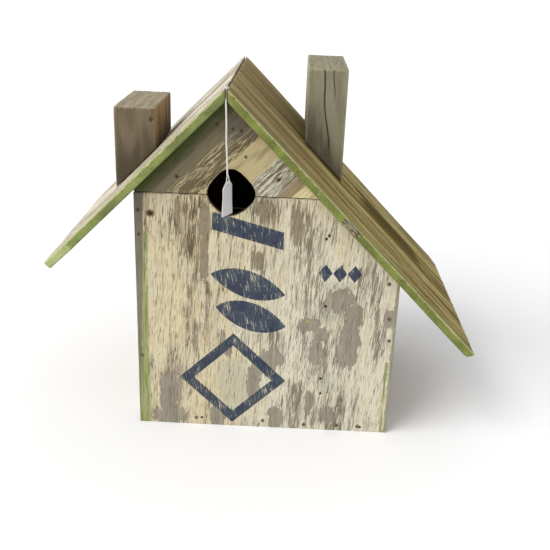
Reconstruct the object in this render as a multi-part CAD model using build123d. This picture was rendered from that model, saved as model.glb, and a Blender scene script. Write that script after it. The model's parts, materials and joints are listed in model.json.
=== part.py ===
from build123d import *
import os
from math import cos, radians, sin, sqrt, tan

os.makedirs("parts", exist_ok=True)

# A wooden nesting box with a saltbox roof. X runs along the front, Y from front to back, Z up.
# The origin is under the middle of the roof's plan. u is a place's distance from the ridge
# line along X, negative on the left; both slopes fall at 45 degrees.

# Driving dimensions, in millimetres
ridge_height = 409.0
roof_run_left = 205.0
roof_run_right = 288.0
roof_depth = 300.0
roof_thickness = 10.0
mitre_gap = 2.4
overhang = 20.0

wall_left = -102.0
wall_right = 198.0
joint_height = 290.5
front_thickness = 10.0
back_thickness = 10.0
left_wall_thickness = 10.0
right_wall_thickness = 18.0
floor_thickness = 15.0

entrance_u = 5.0
entrance_height = 293.0
entrance_radius = 25.4

eave_clip_along = 40.0
eave_clip_deep = 14.0
eave_back_clip = 12.0
eave_undercut = 3.0

left_chimney_u = (-138.5, -89.5)
left_chimney_y = (-52.5, 66.5)
left_chimney_top = 368.5
right_chimney_u = (84.0, 132.0)
right_chimney_y = (-6.0, 137.0)
right_chimney_top = 414.0

cleat_thickness = 12.0
front_cleats_u = ((-72.0, -26.0), (36.0, 74.0))
cleat_low = 272.0
cleat_high = 318.0
back_cleat_u = (-15.0, 70.0)

door_left = -27.0
door_right = 123.0
door_low = 50.0
door_high = 200.0
door_gap = 1.5
door_stop_gap = 0.5
batten_width = 20.0
batten_shows = 8.0
left_batten_top = 285.0
right_batten_top = 255.0

nail_radius = 1.0
nail_head_radius = 1.5
nail_head_length = 1.2
nail_sink = 0.3
long_nail = 32.0
short_nail = 20.0
wall_nail = 40.0
left_nail_heights = (91.0, 242.0, 270.0)
right_nail_places = ((185.5, 195.0), (189.2, 152.0), (191.5, 124.0))
floor_nail_places = ((-33.0, 9.0), (48.0, 9.0), (98.0, 6.0), (138.0, 7.0), (163.0, 7.0))
gable_nail_places = ((-54.0, 309.5), (56.0, 310.5))
roof_nails_left_u = (-20.0, -55.0, -88.0)
roof_nails_right_u = (25.0, 70.0, 130.0, 175.0)
nail_from_edge = 5.0
back_left_nail_heights = (35.0, 110.0, 190.0, 262.0)
back_right_nail_heights = (35.0, 110.0, 178.0)
back_floor_nails_u = (-70.0, 10.0, 86.0, 165.0)
wall_nails_y = (-80.0, 0.0, 80.0)

screw_radius = 1.5
screw_head_radius = 3.0
screw_head_length = 1.8
cleat_screw = 19.0
front_cleat_screws = ((-60.0, 280.0), (-38.0, 280.0), (46.0, 280.0), (64.0, 280.0))
back_cleat_screws = ((5.0, 280.0), (50.0, 280.0), (5.0, 306.0), (50.0, 306.0))
left_batten_screws = ((-33.0, 40.0), (-33.0, 150.0), (-33.0, 262.0), (-22.0, 30.0), (-22.0, 225.0))
right_batten_screws = ((129.0, 40.0), (129.0, 150.0), (129.0, 240.0), (118.5, 30.0), (118.5, 225.0))
chimney_screw_radius = 2.2
chimney_screw_head_radius = 4.2
chimney_screw_head_length = 2.6
chimney_screw = 35.0

hinge_heights = (85.0, 165.0)
hinge_length = 38.0
hinge_leaf_width = 15.0
hinge_leaf_thickness = 1.2
hinge_axis_out = 2.6
knuckle_radius = 2.3
knuckle_gap = 0.2
knuckle_play = 0.15
pin_radius = 1.1
running_clearance = 0.08
pin_head_radius = 2.0
pin_head_length = 0.8
leaf_screw_radius = 1.2
leaf_screw_head_radius = 2.5
leaf_screw = 8.0
leaf_screw_in = 10.5
leaf_screw_spread = 12.5

button_u = 136.0
button_height = 125.0
button_length = 46.0
button_width = 15.0
button_thickness = 8.0
button_gap = 0.2
washer_radius = 5.0
washer_thickness = 1.0
button_screw_radius = 1.8
button_screw_head_radius = 3.6
button_screw_head_height = 2.2
button_screw_in_wood = 8.5

knob_u = 92.0
knob_height = 15.0
knob_radius = 9.0
knob_neck_radius = 5.0
knob_screw = 18.0

string_radius = 1.0
string_behind_edge = 1.0
string_top = 393.3
string_stub_gap = 0.8
string_route = ((0.0, string_top), (0.9, 375.0), (0.8, 353.0), (2.2, 334.0), (2.4, 318.0))
knot_radius = 1.15
loop_wire_radius = 0.5
loop_width = 4.0
loop_slack = 0.05
tag_u = 3.0
tag_top = 312.0
tag_bottom = 274.3
tag_width = 21.0
tag_top_width = 7.0
tag_shoulder = 6.0
tag_thickness = 0.8
tag_hole_radius = 1.5
tag_hole_down = 4.5
tag_turn = 66.0

# Worked out from the driving dimensions
ridge_x = roof_run_left - (roof_run_left + roof_run_right) / 2
roof_drop = roof_thickness * sqrt(2)
roof_front = -roof_depth / 2
roof_back = roof_depth / 2
front_y = roof_front + overhang
back_y = roof_back - overhang
inner_front = front_y + front_thickness
inner_back = back_y - back_thickness
slant = sqrt(0.5)
forward = Vector(0, 1, 0)
backward = Vector(0, -1, 0)
upward = Vector(0, 0, 1)
left_down = Vector(slant, 0, -slant)
right_down = Vector(-slant, 0, -slant)
low_nail = floor_thickness / 2


def roof_top(u):
    """Height of the roof's upper face."""
    return ridge_height - abs(u)


def underside(u):
    """Height of the roof's lower face, on which the walls' top edges end."""
    return ridge_height - roof_drop - abs(u)


def prism(outline, near, far):
    """A solid with this outline in (u, z), from y = near to y = far."""
    corners = [(ridge_x + u, near, z) for u, z in outline]
    face = make_face(Polyline(*corners, close=True))
    return extrude(face, amount=far - near, dir=forward)


def bar(u_range, y_range, z_range):
    """A square-edged block between these limits."""
    low, high = z_range
    left, right = u_range
    return prism([(left, low), (right, low), (right, high), (left, high)], *y_range)


def rod(start, along, length, radius):
    """A round rod from start."""
    plane = Plane(origin=start, z_dir=along)
    return plane * Cylinder(radius, length, align=(Align.CENTER, Align.CENTER, Align.MIN))


def cone(start, along, length, radius, end_radius):
    """A tapered rod from start."""
    plane = Plane(origin=start, z_dir=along)
    return plane * Cone(radius, end_radius, length, align=(Align.CENTER, Align.CENTER, Align.MIN))


def at(u, y, z):
    """A point given by its distance from the ridge line."""
    return Vector(ridge_x + u, y, z)


class Fasteners:
    """Nails or screws of one kind: their solids, and the holes that they make in the wood."""

    def __init__(self):
        self.solids = []
        self.holes = []

    def nail(self, place, along, length):
        """A lost-head nail, punched a little below the face at place."""
        head_start = place + along * nail_sink
        head = rod(head_start, along, nail_head_length, nail_head_radius)
        shank = rod(head_start, along, length, nail_radius)
        self.solids.append(head + shank)
        self.holes.append(rod(place, along, nail_sink + nail_head_length, nail_head_radius) + shank)

    def screw(self, place, along, length, radius, head_radius, head_length):
        """A countersunk screw, its head flush with the face at place."""
        screw = cone(place, along, head_length, head_radius, radius) + rod(place, along, length, radius)
        self.solids.append(screw)
        self.holes.append(screw)

    def cut(self, wood):
        """The wood with these fasteners' holes."""
        for hole in self.holes:
            wood = wood - hole
        return wood


def drilled(wood, *groups):
    """The wood with the holes of several groups of fasteners."""
    for group in groups:
        wood = group.cut(wood)
    return wood


# ---- Fasteners, placed first because every board is drilled for them ----


def front_board_nails():
    """Nails through the lower front board into the two side walls and the floor."""
    group = Fasteners()
    for height in left_nail_heights:
        group.nail(at(wall_left + left_wall_thickness / 2, front_y, height), forward, long_nail)
    for u, height in (*right_nail_places, *floor_nail_places):
        group.nail(at(u, front_y, height), forward, long_nail)
    return group


def gable_nails():
    """Nails through the front gable board into its cleats."""
    group = Fasteners()
    for u, height in gable_nail_places:
        group.nail(at(u, front_y, height), forward, short_nail)
    return group


def back_board_nails():
    """Nails through the back boards into the side walls and the floor."""
    group = Fasteners()
    for height in back_left_nail_heights:
        group.nail(at(wall_left + left_wall_thickness / 2, back_y, height), backward, long_nail)
    for height in back_right_nail_heights:
        group.nail(at(wall_right - right_wall_thickness / 2, back_y, height), backward, long_nail)
    for u in back_floor_nails_u:
        group.nail(at(u, back_y, low_nail), backward, long_nail)
    return group


def wall_nails():
    """Nails through the side walls into the ends of the floor."""
    group = Fasteners()
    for y in wall_nails_y:
        group.nail(at(wall_left, y, low_nail), Vector(1, 0, 0), wall_nail)
        group.nail(at(wall_right, y, low_nail), Vector(-1, 0, 0), wall_nail)
    return group


def roof_nails(places, down):
    """Nails through a roof board into the sloping edges of the front and back boards."""
    group = Fasteners()
    for u in places:
        for y in (front_y + nail_from_edge, back_y - nail_from_edge):
            group.nail(at(u, y, roof_top(u)), down, long_nail)
    return group


def cleat_screws():
    """Screws from inside that hold the cleats and battens to the front and back boards."""
    group = Fasteners()
    inside_front = inner_front + cleat_thickness
    inside_back = inner_back - cleat_thickness
    for u, height in front_cleat_screws:
        group.screw(at(u, inside_front, height), backward, cleat_screw, screw_radius, screw_head_radius,
                    screw_head_length)
    for u, height in (*back_cleat_screws, *left_batten_screws, *right_batten_screws):
        group.screw(at(u, inside_back, height), forward, cleat_screw, screw_radius, screw_head_radius,
                    screw_head_length)
    return group


def chimney_screws():
    """Two screws under each chimney, driven up through the roof at right angles to it."""
    group = Fasteners()
    for u_range, y_range, down in ((left_chimney_u, left_chimney_y, left_down),
                                   (right_chimney_u, right_chimney_y, right_down)):
        u = sum(u_range) / 2
        quarter = (y_range[1] - y_range[0]) / 4
        for y in (y_range[0] + quarter, y_range[1] - quarter):
            head = at(u, y, roof_top(u)) + down * roof_thickness
            group.screw(head, -down, chimney_screw, chimney_screw_radius, chimney_screw_head_radius,
                        chimney_screw_head_length)
    return group


def leaf_screws(side):
    """The hinges' screws on one side of the hinge line: -1 on the back board, 1 on the door."""
    group = Fasteners()
    for middle in hinge_heights:
        for up in (-leaf_screw_spread, leaf_screw_spread):
            place = hinge_point(middle + up) + Vector(side * leaf_screw_in, -hinge_axis_out, 0)
            place += forward * hinge_leaf_thickness
            group.screw(place, backward, leaf_screw, leaf_screw_radius, leaf_screw_head_radius,
                        hinge_leaf_thickness)
    return group


def knob_screws():
    """The screw through the door that holds the knob."""
    group = Fasteners()
    inner_face = inner_back + door_stop_gap
    group.screw(at(knob_u, inner_face, button_height), forward, knob_screw, screw_radius, screw_head_radius,
                screw_head_length)
    return group


# ---- Boards ----


def entrance():
    """The round entrance, as a cutter through the front."""
    return rod(at(entrance_u, front_y - 1, entrance_height), forward, front_thickness + 2, entrance_radius)


def lower_board(near, far):
    """A board as wide as the box, from the base to the joint, its right shoulder under the roof."""
    joint_end = ridge_height - roof_drop - joint_height
    outline = [(wall_left, 0), (wall_right, 0), (wall_right, underside(wall_right)),
               (joint_end, joint_height), (wall_left, joint_height)]
    return prism(outline, near, far)


def gable_board(near, far):
    """The triangle of board above the joint."""
    joint_end = ridge_height - roof_drop - joint_height
    outline = [(wall_left, joint_height), (joint_end, joint_height), (0, underside(0)),
               (wall_left, underside(wall_left))]
    return prism(outline, near, far)


def side_wall(outer, inner):
    """A side wall between the front and back boards, its top edge bevelled to the roof."""
    outline = [(outer, 0), (inner, 0), (inner, underside(inner)), (outer, underside(outer))]
    return prism(outline, inner_front, inner_back)


def floor_board():
    left = wall_left + left_wall_thickness
    right = wall_right - right_wall_thickness
    return bar((left, right), (inner_front, inner_back), (0, floor_thickness))


def back_left_board():
    return bar((wall_left, door_left), (inner_back, back_y), (0, joint_height))


def back_right_board():
    outline = [(door_right, 0), (wall_right, 0), (wall_right, underside(wall_right)),
               (door_right, underside(door_right))]
    return prism(outline, inner_back, back_y)


def back_bottom_board():
    return bar((door_left, door_right), (inner_back, back_y), (0, door_low))


def back_upper_board():
    joint_end = ridge_height - roof_drop - joint_height
    outline = [(door_left, door_high), (door_right, door_high), (door_right, underside(door_right)),
               (joint_end, joint_height), (door_left, joint_height)]
    return prism(outline, inner_back, back_y)


def batten(edge, outward, top):
    """A batten behind one edge of the door opening, part of it showing in the opening as a stop."""
    u_range = sorted((edge - outward * batten_shows, edge + outward * (batten_width - batten_shows)))
    return bar(u_range, (inner_back - cleat_thickness, inner_back), (floor_thickness, top))


def front_cleat(u_range):
    return bar(u_range, (inner_front, inner_front + cleat_thickness), (cleat_low, cleat_high))


def back_cleat():
    return bar(back_cleat_u, (inner_back - cleat_thickness, inner_back), (cleat_low, cleat_high))


# ---- Roof and chimneys ----


def roof_board(side, run, undercut):
    """One slope, cut plumb at the ridge and nearly square at the eave. side is -1 left, 1 right."""
    start = mitre_gap / 2
    drop = roof_thickness * slant
    eave_low = run - drop - undercut * slant
    outline = [(side * start, roof_top(start)), (side * run, roof_top(run)),
               (side * eave_low, underside(eave_low)), (side * start, underside(start))]
    return prism(outline, roof_front, roof_back)


def corner_clip(side, run, y, along, deep):
    """A cutter that takes a triangle off an eave corner, square to the slope.
    along is measured up the slope and deep along the eave, both from the corner."""
    inward = Vector(0, 1 if y < 0 else -1, 0)
    up_slope = Vector(-side * slant, 0, slant)
    normal = Vector(side * slant, 0, slant)
    corner = at(side * run, y, roof_top(run)) + normal
    triangle = [corner + up_slope * 2 * along - inward * deep,
                corner - up_slope * along + inward * 2 * deep,
                corner - up_slope * along - inward * deep]
    face = make_face(Polyline(*triangle, close=True))
    return extrude(face, amount=roof_thickness + 2 * normal.length, dir=-normal)


def roof_left_board():
    board = roof_board(-1, roof_run_left, 0)
    return board - corner_clip(-1, roof_run_left, roof_front, eave_clip_along, eave_clip_deep)


def roof_right_board():
    board = roof_board(1, roof_run_right, eave_undercut)
    return board - corner_clip(1, roof_run_right, roof_back, eave_back_clip, eave_back_clip)


def chimney(u_range, y_range, top):
    """A timber block, its foot mitred to stand on the slope."""
    left, right = u_range
    outline = [(left, roof_top(left)), (right, roof_top(right)), (right, top), (left, top)]
    return prism(outline, *y_range)


# ---- Clean-out door ----


def hinge_point(height):
    """A point on the hinge line."""
    return at(door_left + door_gap / 2, back_y + hinge_axis_out, height)


def hinge_leaf(middle, side):
    """A leaf and its knuckles: the two end ones on the fixed leaf, side -1, and the door's between them,
    with a little end play."""
    low = middle - hinge_length / 2
    third = hinge_length / 3
    ends = [low, low + 2 * third]
    centre = [low + third]
    own, other = (centre, ends) if side > 0 else (ends, centre)
    bore_radius = pin_radius + running_clearance if side > 0 else pin_radius
    notch_radius = knuckle_radius + 2 * knuckle_gap
    notch_length = third + 2 * knuckle_gap

    reach = sorted((0, side * hinge_leaf_width))
    line_u = door_left + door_gap / 2
    leaf = bar([line_u + u for u in reach], (back_y, back_y + hinge_leaf_thickness),
               (low, low + hinge_length))
    for start in other:
        leaf = leaf - bar((line_u - notch_radius, line_u + notch_radius), (back_y - 1, back_y + 2),
                          (start - knuckle_gap, start - knuckle_gap + notch_length))
    play = knuckle_play if side > 0 else 0
    for start in own:
        leaf = leaf + rod(hinge_point(start + play), upward, third - 2 * play, knuckle_radius)
    return leaf - rod(hinge_point(low - 1), upward, hinge_length + 2, bore_radius)


def hinge_pin(middle):
    """A headed pin, tight in the fixed leaf."""
    low = middle - hinge_length / 2
    pin = rod(hinge_point(low), upward, hinge_length, pin_radius)
    for start in (low - pin_head_length, low + hinge_length):
        pin = pin + rod(hinge_point(start), upward, pin_head_length, pin_head_radius)
    return pin


def door_board():
    u_range = (door_left + door_gap, door_right - door_gap)
    y_range = (inner_back + door_stop_gap, back_y)
    return bar(u_range, y_range, (door_low + door_gap, door_high - door_gap))


def door_knob():
    """A turned knob: a narrow neck that swells to a domed top, drilled for its screw."""
    bore_depth = knob_screw - (back_thickness - door_stop_gap)
    belly_height = knob_height * 0.6
    outline = [(0, knob_height), (0, bore_depth), (screw_radius, bore_depth), (screw_radius, 0),
               (knob_neck_radius, 0), (knob_neck_radius * 0.8, knob_height * 0.3),
               (knob_radius, belly_height)]
    edges = [Line(start, end) for start, end in zip(outline, outline[1:])]
    edges.append(Spline(outline[-1], outline[0], tangents=[(0, 1), (-1, 0)]))
    turned = revolve(Plane.XZ * make_face(Wire(edges)), Axis.Z)
    return Plane(origin=at(knob_u, back_y, button_height), z_dir=forward) * turned


# ---- Turn button ----


def button_point(out):
    """A point on the turn button's axis, out from the back face."""
    return at(button_u, back_y + out, button_height)


def turn_button_washer():
    washer = rod(button_point(0), forward, washer_thickness, washer_radius)
    return washer - rod(button_point(-1), forward, washer_thickness + 2, button_screw_radius)


def turn_button():
    """A bar of wood with rounded ends, upright and so clear of the door."""
    plane = Plane(origin=button_point(washer_thickness + button_gap), x_dir=(0, 0, 1), z_dir=forward)
    bar_face = SlotOverall(button_length, button_width)
    button = extrude(plane * bar_face, amount=button_thickness, dir=forward)
    bore = button_screw_radius + running_clearance
    return button - rod(button_point(0), forward, button_thickness + 4, bore)


def turn_button_screw():
    """A round-headed screw with a plain shank under its head."""
    head_at = washer_thickness + button_thickness + 2 * button_gap
    shank = rod(button_point(-button_screw_in_wood), forward, head_at + button_screw_in_wood,
                button_screw_radius)
    head = cone(button_point(head_at), forward, button_screw_head_height, button_screw_head_radius,
                button_screw_head_radius * 0.6)
    return shank + head


# ---- String and tag ----


def string_y():
    return roof_front + string_behind_edge


def string_path():
    """Straight runs with tangent arcs, each as large as its two runs allow."""
    points = [at(u, string_y(), z) for u, z in string_route]
    radii = []
    for before, here, after in zip(points, points[1:], points[2:]):
        turn = (here - before).get_angle(after - here)
        shorter = min((here - before).length, (after - here).length)
        radii.append(0.45 * shorter / tan(radians(turn / 2)))
    print("string radii", [round(radius) for radius in radii])
    return FilletPolyline(*points, radius=radii)


def tag_string():
    path = string_path()
    section = Plane(origin=path @ 0, z_dir=path % 0) * Circle(string_radius)
    tube = sweep(section, path=path)
    print("string length", round(path.length, 1), "volume over section", round(tube.volume / section.area, 1))
    return tube


def ridge_knot():
    """The string's fixed end: it goes up through the mitre gap to a small knot at the ridge."""
    foot = at(0, string_y(), string_top + string_stub_gap)
    knot_centre = at(0, string_y(), ridge_height)
    stub = rod(foot, upward, (knot_centre - foot).length, string_radius)
    return stub + Pos(*knot_centre) * Sphere(knot_radius)


def tag_plane():
    """The tag's own plane: its X across the card, its Y up, turned about the string."""
    across = Vector(cos(radians(tag_turn)), sin(radians(tag_turn)), 0)
    facing = across.cross(upward)
    return Plane(origin=at(tag_u, string_y(), tag_top - tag_hole_down), x_dir=across, z_dir=facing)


def hang_tag():
    """A card with clipped top corners and a hole."""
    half, half_top = tag_width / 2, tag_top_width / 2
    top = tag_hole_down
    low = tag_bottom - tag_top + tag_hole_down
    outline = [(-half, low), (half, low), (half, top - tag_shoulder), (half_top, top),
               (-half_top, top), (-half, top - tag_shoulder)]
    card = extrude(make_face(Polyline(*outline, close=True)), amount=tag_thickness / 2, both=True)
    return tag_plane() * (card - Cylinder(tag_hole_radius, 2 * tag_thickness))


def tag_loop():
    """The string's end, a long loop through the tag's hole."""
    loop_bottom = tag_top - tag_hole_down + tag_hole_radius - loop_wire_radius - loop_slack
    loop_top = string_route[-1][1]
    middle = at(tag_u, string_y(), (loop_bottom + loop_top) / 2)
    # The loop's plane is upright and square to the card.
    own_plane = Plane(origin=middle, x_dir=(0, 0, 1), z_dir=tag_plane().x_dir)
    centre_line = (own_plane * SlotOverall(loop_top - loop_bottom, loop_width)).face().outer_wire()
    section = Plane(origin=centre_line @ 0, z_dir=centre_line % 0) * Circle(loop_wire_radius)
    return sweep(section, path=centre_line)


# ---- Writing the parts ----


def group_of(fasteners):
    """The fasteners of a group as one shape of separate solids."""
    return Compound([solid for shape in fasteners.solids for solid in shape.solids()])


def build():
    """Every piece by name."""
    front_nails = front_board_nails()
    gable = gable_nails()
    back_nails = back_board_nails()
    sides = wall_nails()
    left_roof_nails = roof_nails(roof_nails_left_u, left_down)
    right_roof_nails = roof_nails(roof_nails_right_u, right_down)
    cleats = cleat_screws()
    chimneys = chimney_screws()
    frame_leaf_screws = leaf_screws(-1)
    door_leaf_screws = leaf_screws(1)
    knob = knob_screws()

    left_inner = wall_left + left_wall_thickness
    right_inner = wall_right - right_wall_thickness
    roof = (left_roof_nails, right_roof_nails)
    button_hole = rod(button_point(-button_screw_in_wood), forward, button_screw_in_wood,
                      button_screw_radius)

    parts = {
        "front_lower_board": drilled(lower_board(front_y, inner_front) - entrance(), front_nails, cleats,
                                     *roof),
        "front_gable_board": drilled(gable_board(front_y, inner_front) - entrance(), gable, *roof),
        "left_side_wall": drilled(side_wall(wall_left, left_inner), front_nails, back_nails, sides),
        "right_side_wall": drilled(side_wall(wall_right, right_inner), front_nails, back_nails, sides),
        "floor_board": drilled(floor_board(), front_nails, back_nails, sides),
        "back_bottom_board": drilled(back_bottom_board(), back_nails, cleats),
        "back_left_board": drilled(back_left_board(), back_nails, cleats, frame_leaf_screws),
        "back_right_board": drilled(back_right_board() - button_hole, back_nails, cleats, *roof),
        "back_upper_board": drilled(back_upper_board(), cleats, *roof),
        "back_gable_board": drilled(gable_board(inner_back, back_y), cleats, *roof),
        "back_batten_left": drilled(batten(door_left, -1, left_batten_top), cleats),
        "back_batten_right": drilled(batten(door_right, 1, right_batten_top), cleats),
        "back_joint_cleat": drilled(back_cleat(), cleats),
        "front_cleat_left": drilled(front_cleat(front_cleats_u[0]), gable, cleats),
        "front_cleat_right": drilled(front_cleat(front_cleats_u[1]), gable, cleats),
        "roof_left_board": drilled(roof_left_board(), left_roof_nails, chimneys),
        "roof_right_board": drilled(roof_right_board(), right_roof_nails, chimneys),
        "chimney_left": drilled(chimney(left_chimney_u, left_chimney_y, left_chimney_top), chimneys),
        "chimney_right": drilled(chimney(right_chimney_u, right_chimney_y, right_chimney_top), chimneys),
        "front_board_nails": group_of(front_nails),
        "gable_nails": group_of(gable),
        "back_board_nails": group_of(back_nails),
        "side_wall_nails": group_of(sides),
        "roof_left_nails": group_of(left_roof_nails),
        "roof_right_nails": group_of(right_roof_nails),
        "cleat_screws": group_of(cleats),
        "chimney_screws": group_of(chimneys),
        "frame_hinge_screws": group_of(frame_leaf_screws),
        "door_hinge_screws": group_of(door_leaf_screws),
        "door_knob_screw": group_of(knob),
        "clean_out_door": drilled(door_board(), door_leaf_screws, knob),
        "door_knob": door_knob(),
        "turn_button": turn_button(),
        "turn_button_washer": turn_button_washer(),
        "turn_button_screw": turn_button_screw(),
        "ridge_knot": ridge_knot(),
        "tag_string": tag_string(),
        "tag_loop": tag_loop(),
        "hang_tag": hang_tag(),
    }
    for name, middle in zip(("lower", "upper"), hinge_heights):
        parts[f"hinge_{name}_frame_leaf"] = drilled(hinge_leaf(middle, -1), frame_leaf_screws)
        parts[f"hinge_{name}_door_leaf"] = drilled(hinge_leaf(middle, 1), door_leaf_screws)
        parts[f"hinge_{name}_pin"] = hinge_pin(middle)
    return parts


for part_name, shape in build().items():
    export_step(shape, f"parts/{part_name}.step")
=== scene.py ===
import itertools
import json
from collections import namedtuple
from math import cos, hypot, pi, radians, sin, sqrt

import bmesh
import bpy
import numpy as np
from mathutils import Matrix, Vector


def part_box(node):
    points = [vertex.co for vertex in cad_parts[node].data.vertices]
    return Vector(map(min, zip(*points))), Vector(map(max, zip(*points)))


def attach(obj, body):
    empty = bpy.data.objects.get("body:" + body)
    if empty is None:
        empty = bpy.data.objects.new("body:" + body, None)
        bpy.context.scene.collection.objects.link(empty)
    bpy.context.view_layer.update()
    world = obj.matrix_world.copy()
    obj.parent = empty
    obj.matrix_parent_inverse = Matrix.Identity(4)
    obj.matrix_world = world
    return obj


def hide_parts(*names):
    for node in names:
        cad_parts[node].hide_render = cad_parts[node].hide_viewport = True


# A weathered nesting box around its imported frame. Places are in metres; materials and wear are in mm.

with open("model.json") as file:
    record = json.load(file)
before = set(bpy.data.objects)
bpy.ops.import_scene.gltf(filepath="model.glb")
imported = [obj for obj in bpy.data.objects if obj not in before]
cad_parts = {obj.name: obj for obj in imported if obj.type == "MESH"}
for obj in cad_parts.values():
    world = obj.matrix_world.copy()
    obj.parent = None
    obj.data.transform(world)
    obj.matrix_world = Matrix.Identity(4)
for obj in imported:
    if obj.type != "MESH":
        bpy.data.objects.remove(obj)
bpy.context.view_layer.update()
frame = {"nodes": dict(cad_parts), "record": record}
nodes = frame["nodes"]

MM = 0.001


def low(node):
    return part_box(node)[0]


def high(node):
    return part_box(node)[1]


# The driving places, all read from the frame
RIDGE_X = (high("roof_left_board").x + low("roof_right_board").x) / 2
ROOF_FRONT = low("roof_left_board").y
ROOF_BACK = high("roof_left_board").y
RIDGE_Z = high("roof_left_board").z
FRONT_Y = low("front_lower_board").y
BACK_Y = high("back_left_board").y
WALL_LEFT = low("front_lower_board").x
WALL_RIGHT = high("front_lower_board").x
ROOF_THICKNESS = 10 * MM
UNDERSIDE_Z = RIDGE_Z - ROOF_THICKNESS * sqrt(2)
HOLES = {hole["name"]: hole["box_m"] for hole in frame["record"]["physics"]["openings"]}
ENTRANCE = (Vector(HOLES["entrance_hole"][0]) + Vector(HOLES["entrance_hole"][1])) / 2
ENTRANCE_RADIUS = 25.4 * MM


def new_object(name, data):
    item = bpy.data.objects.new(name, data)
    bpy.context.scene.collection.objects.link(item)
    return item


# ---- Camera ----


def add_camera():
    """The picture's viewpoint: a little right of the ridge, looking down on the roof."""
    data = bpy.data.cameras.new("Camera")
    data.lens = 51.745
    data.sensor_width = 36.0
    data.clip_start, data.clip_end = 0.05, 200
    camera = new_object("Camera", data)
    yaw, pitch, roll = (radians(a) for a in (0.998, 21.762, 2.194))
    turn = Matrix.Rotation(yaw, 4, "Z") @ Matrix.Rotation(pi / 2 - pitch, 4, "X")
    turn = turn @ Matrix.Rotation(roll, 4, "Z")
    place = Vector((RIDGE_X + 0.07058, FRONT_Y - 0.82754, 0.53064))
    camera.matrix_world = Matrix.Translation(place) @ turn
    bpy.context.scene.camera = camera


add_camera()


# ---- The string's line ----

# The string's route down the front, as (from the ridge line, height), on the tag's plane
STRING_Y = ROOF_FRONT + 1 * MM
STRING_ROUTE = ((0, 0.3933), (0.0009, 0.375), (0.0008, 0.353), (0.0022, 0.334), (0.0024, 0.318))


def line_through(points, steps):
    """The points of a smooth NURBS line with these control points."""
    curve = bpy.data.curves.new("route", "CURVE")
    curve.dimensions = "3D"
    spline = curve.splines.new("NURBS")
    spline.points.add(len(points) - 1)
    for control, point in zip(spline.points, points):
        control.co = (*point, 1)
    spline.order_u = 3
    spline.use_endpoint_u = True
    spline.resolution_u = steps
    item = bpy.data.objects.new("route", curve)
    mesh = bpy.data.meshes.new_from_object(item)
    line = [vertex.co.copy() for vertex in mesh.vertices]
    bpy.data.objects.remove(item)
    bpy.data.meshes.remove(mesh)
    return line


string_line = line_through([(RIDGE_X + u, STRING_Y, z) for u, z in STRING_ROUTE], 40)


# ---- Mesh tools ----


def finish_piece(item, body, material, replaces):
    """Gives a piece its finish, hides the CAD nodes it stands for, and makes it ride on its body."""
    for polygon in item.data.polygons:
        polygon.use_smooth = True
    item.data.materials.clear()
    item.data.materials.append(material)
    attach(item, body)
    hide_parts(*replaces)
    return item


def applied(item):
    """The mesh that an object's modifiers make. The object itself goes."""
    graph = bpy.context.evaluated_depsgraph_get()
    mesh = bpy.data.meshes.new_from_object(item.evaluated_get(graph))
    bpy.data.objects.remove(item)
    return mesh


def vectors(items, name):
    """A vector property of every item in a mesh's list, as an array of rows."""
    flat = np.zeros(len(items) * 3)
    items.foreach_get(name, flat)
    return flat.reshape(-1, 3)


def move_vertices(mesh, points):
    mesh.vertices.foreach_set("co", np.asarray(points, dtype=float).ravel())
    mesh.update()


def noise(points, seed, octaves=1):
    """Smooth noise between 0 and 1 at points, whose cells are one unit wide."""
    total, share, weight = np.zeros(len(points)), 0.0, 1.0
    for octave in range(octaves):
        p = points * 2**octave + 17.3 * octave
        cell = np.floor(p).astype(np.int64)
        f = p - cell
        f = f * f * (3 - 2 * f)
        value = np.zeros(len(points))
        for corner in itertools.product((0, 1), repeat=3):
            c = cell + np.array(corner)
            h = (c[:, 0] * 374761393 + c[:, 1] * 668265263 + c[:, 2] * 69069069 + seed * 362437) & 0xFFFFFFFF
            h = ((h ^ (h >> 13)) * 1274126177) & 0xFFFFFFFF
            h = h ^ (h >> 16)
            near = np.where(np.array(corner) == 1, f, 1 - f).prod(axis=1)
            value += near * (h & 0xFFFF) / 65535
        total += weight * value
        share += weight
        weight *= 0.5
    return total / share


def even_mesh(node, turn, cell):
    """A copy of a CAD node's mesh as even faces of this size in mm, in the piece's own frame, which turn
    takes into the object's frame."""
    mesh = nodes[node].data.copy()
    work = bmesh.new()
    work.from_mesh(mesh)
    bmesh.ops.remove_doubles(work, verts=work.verts, dist=1e-6)
    work.to_mesh(mesh)
    work.free()
    mesh.transform(turn.inverted())
    mesh.transform(Matrix.Diagonal((*(1 / (MM * c) for c in cell), 1)))
    source = new_object(node + "_source", mesh)
    modifier = source.modifiers.new("Remesh", "REMESH")
    modifier.mode = "VOXEL"
    modifier.voxel_size = 1.0
    made = applied(source)
    made.transform(Matrix.Diagonal((*cell, 1)))
    return made


def smoothed(mesh, rounds):
    """Laplacian smoothing, which rounds every arris a little."""
    work = new_object("smoothing", mesh)
    modifier = work.modifiers.new("Smooth", "SMOOTH")
    modifier.factor = 0.5
    modifier.iterations = rounds
    move_vertices(mesh, vectors(applied(work).vertices, "co"))


Crack = namedtuple("Crack", "across at lean sway wave start end width depth")


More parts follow.
